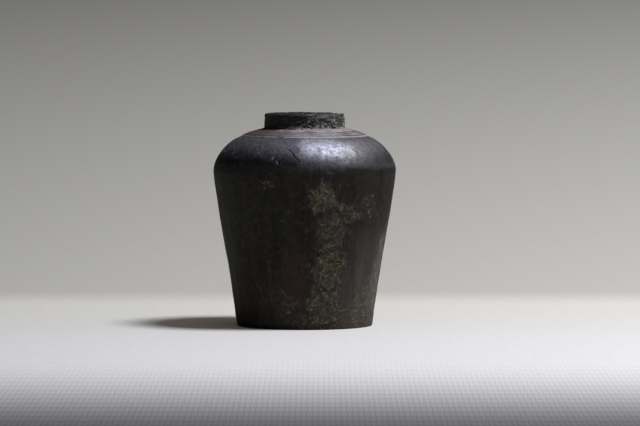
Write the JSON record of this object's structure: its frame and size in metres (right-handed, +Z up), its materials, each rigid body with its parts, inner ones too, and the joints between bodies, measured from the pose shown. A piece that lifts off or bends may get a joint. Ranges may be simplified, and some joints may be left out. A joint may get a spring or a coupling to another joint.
{
  "type": "black clay pot",
  "caption": "Small shouldered black clay pot with a tapered wall, a rounded burnished shoulder, a short thick neck and an open mouth.",
  "frame": {"origin": "centre of the foot, on the surface that the pot stands on", "axes": "+Z up along the pot's axis, through the mouth; the pot is round, so +X and +Y are any two level directions at right angles"},
  "size_m": [0.0474, 0.0474, 0.0552],
  "materials": {
    "foot_clay": "smoke-blackened low-fired clay, worn and crusted",
    "base_coil_clay": "smoke-blackened low-fired clay, finger-smoothed, unburnished",
    "wall_clay": "smoke-blackened low-fired clay, burnished upwards, crusted in patches",
    "belly_coil_clay": "smoke-blackened low-fired clay, finger-smoothed, unburnished",
    "shoulder_clay": "smoke-blackened low-fired clay, burnished to a soft shine",
    "seat_clay": "smoke-blackened low-fired clay, scraped level and left matte",
    "neck_clay": "smoke-blackened low-fired clay, rough and pitted",
    "dried_slip": "pale gritty slip, unburnished"
  },
  "bodies": {
    "root": {"base_disc": "foot_clay", "base_seal_coil": "base_coil_clay", "body_wall": "wall_clay", "belly_seal_coil": "belly_coil_clay", "shoulder_dome": "shoulder_clay", "neck_seat_ring": "seat_clay", "neck_collar": "neck_clay", "neck_slip_bead": "dried_slip"}
  },
  "joints": []
}
